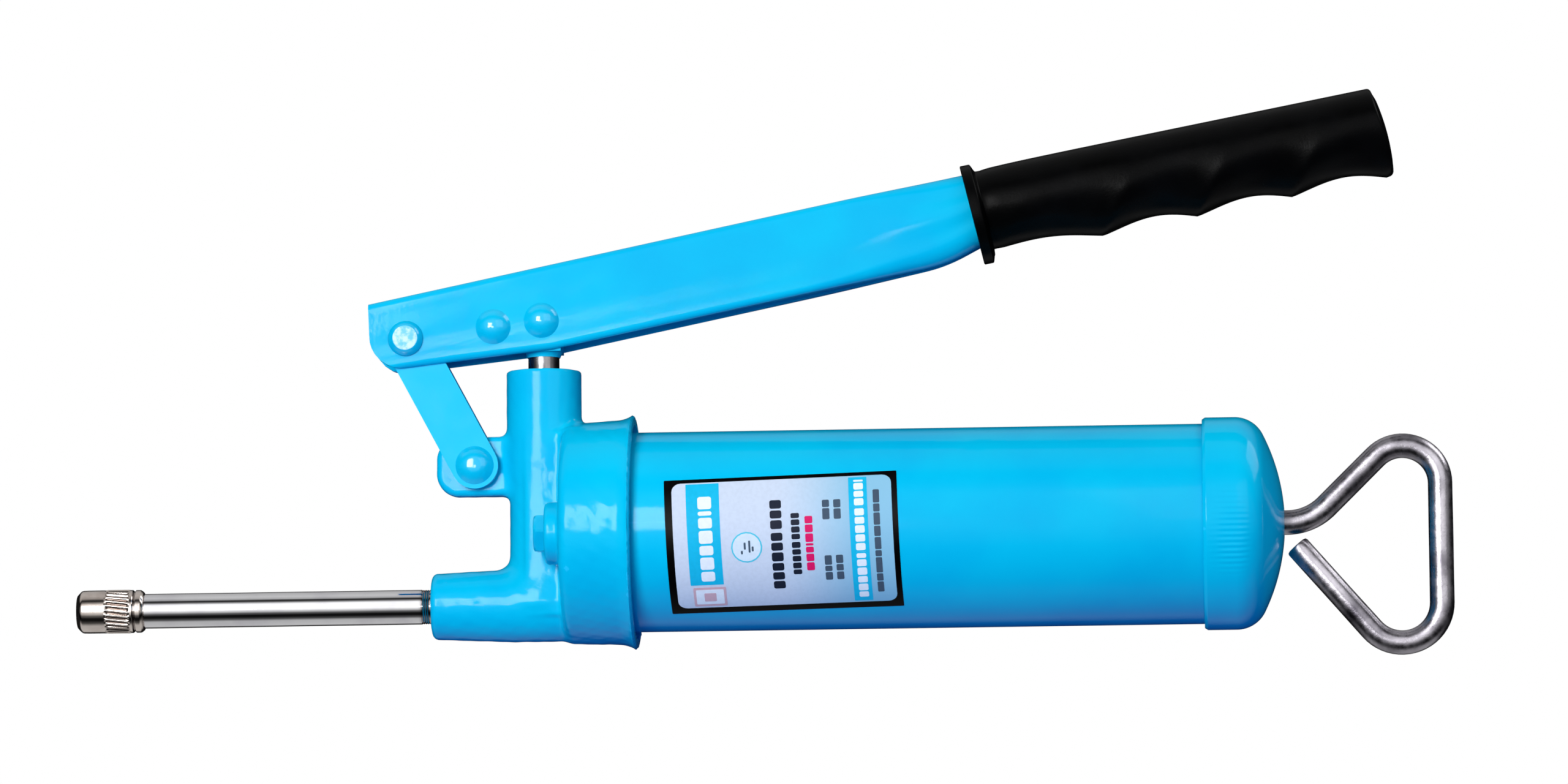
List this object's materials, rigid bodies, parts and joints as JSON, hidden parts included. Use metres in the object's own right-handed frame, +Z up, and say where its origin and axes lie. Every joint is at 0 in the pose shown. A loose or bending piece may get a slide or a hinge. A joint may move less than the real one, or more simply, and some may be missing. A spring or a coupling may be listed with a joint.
{
  "type": "grease gun",
  "caption": "Hand-lever grease gun: pump head with a linked lever, screw-on barrel with a sprung follower and D-handle rod, rigid nozzle pipe and jawed coupler.",
  "frame": {"origin": "centre of the coupler mouth, on the nozzle axis", "axes": "+X from the coupler mouth to the D-handle along the nozzle and barrel axes, +Z up towards the lever, +Y across; y = 0 is the middle plane and the bleed plug is on the -Y side"},
  "size_m": [0.3929, 0.067, 0.163],
  "materials": {
    "enamel": "glossy sky-blue enamel over cast iron and pressed steel",
    "rod_steel": "drawn and bent steel wire, lightly scuffed",
    "bright_steel": "turned bright steel",
    "spring_steel": "oiled spring wire",
    "chrome": "polished chrome plate",
    "nickel": "nickel plate, knurled",
    "grip_rubber": "satin black moulded rubber",
    "seal_rubber": "black seal rubber",
    "gasket_fibre": "red-brown fibre gasket",
    "label_film": null
  },
  "bodies": {
    "head": {"head_casting": "enamel", "vent_plug": "enamel", "plunger_packing": "seal_rubber", "nozzle_pipe": "chrome", "coupler_body": "nickel", "coupler_jaws": "nickel", "check_spring": "spring_steel", "coupler_spring": "spring_steel"},
    "sleeve": {"coupler_sleeve": "nickel"},
    "seal": {"coupler_seal": "seal_rubber"},
    "ball": {"check_ball": "bright_steel"},
    "plunger": {"plunger_rod": "bright_steel", "plunger_eye": "enamel"},
    "lever": {"lever_channel": "enamel", "lever_grip": "grip_rubber", "link_pin": "enamel", "plunger_pin": "enamel", "stiffener_rivet": "enamel", "stiffener_spacer": "bright_steel"},
    "link": {"link_near": "enamel", "link_far": "enamel", "lug_pin": "enamel"},
    "gasket": {"barrel_gasket": "gasket_fibre"},
    "barrel": {"barrel_tube": "enamel", "barrel_label": "label_film", "rear_cap": "enamel"},
    "spring": {"follower_spring": "spring_steel"},
    "follower": {"follower_rod": "rod_steel", "follower_nut": "bright_steel", "follower_washer": "bright_steel", "follower_cup": "seal_rubber", "follower_backplate": "bright_steel"}
  },
  "joints": [
    {"name": "plunger_slide", "type": "slide", "parent": "head", "child": "plunger", "axis": [0, 0, 1], "range_m": [-0.0038, 0.0278]},
    {"name": "lever_swing", "type": "hinge", "parent": "plunger", "child": "lever", "pos_m": [0.1342, 0, 0.081], "axis": [0, -1, 0], "range_deg": [-5, 38]},
    {"name": "link_swing", "type": "hinge", "parent": "head", "child": "link", "pos_m": [0.11465, 0, 0.0399], "axis": [0, -1, 0], "range_deg": [-15, 2.2]},
    {"name": "barrel_travel", "type": "slide", "parent": "head", "child": "gasket", "axis": [1, 0, 0], "range_m": [0, 0.0101]},
    {"name": "barrel_unscrew", "type": "hinge", "parent": "gasket", "child": "barrel", "pos_m": [0.15, 0, 0.0205], "axis": [1, 0, 0], "range_deg": [0, 1800]},
    {"name": "follower_feed", "type": "slide", "parent": "barrel", "child": "spring", "axis": [1, 0, 0], "range_m": [0, 0.125], "stiffness_N_per_m": 250, "springref_m": -0.05, "deforming": ["follower_spring"]},
    {"name": "rod_turn", "type": "hinge", "parent": "spring", "child": "follower", "pos_m": [0.3, 0, 0.0205], "axis": [1, 0, 0], "continuous": true},
    {"name": "ball_lift", "type": "slide", "parent": "head", "child": "ball", "axis": [-1, 0, 0], "range_m": [0, 0.0015], "stiffness_N_per_m": 150, "springref_m": -0.002, "deforming": ["check_spring"]},
    {"name": "seal_slide", "type": "slide", "parent": "head", "child": "seal", "axis": [1, 0, 0], "range_m": [0, 0.001], "stiffness_N_per_m": 300, "springref_m": -0.001, "deforming": ["coupler_spring"]},
    {"name": "sleeve_turn", "type": "hinge", "parent": "head", "child": "sleeve", "pos_m": [0.01, 0, 0], "axis": [1, 0, 0], "range_deg": [0, 360]}
  ],
  "couplings": [
    {"joint": "plunger_slide", "follows": "lever_swing", "m_per_rad": 0.04145},
    {"joint": "link_swing", "follows": "lever_swing", "ratio": -0.3873},
    {"joint": "barrel_travel", "follows": "barrel_unscrew", "m_per_rad": 0.00031831}
  ]
}
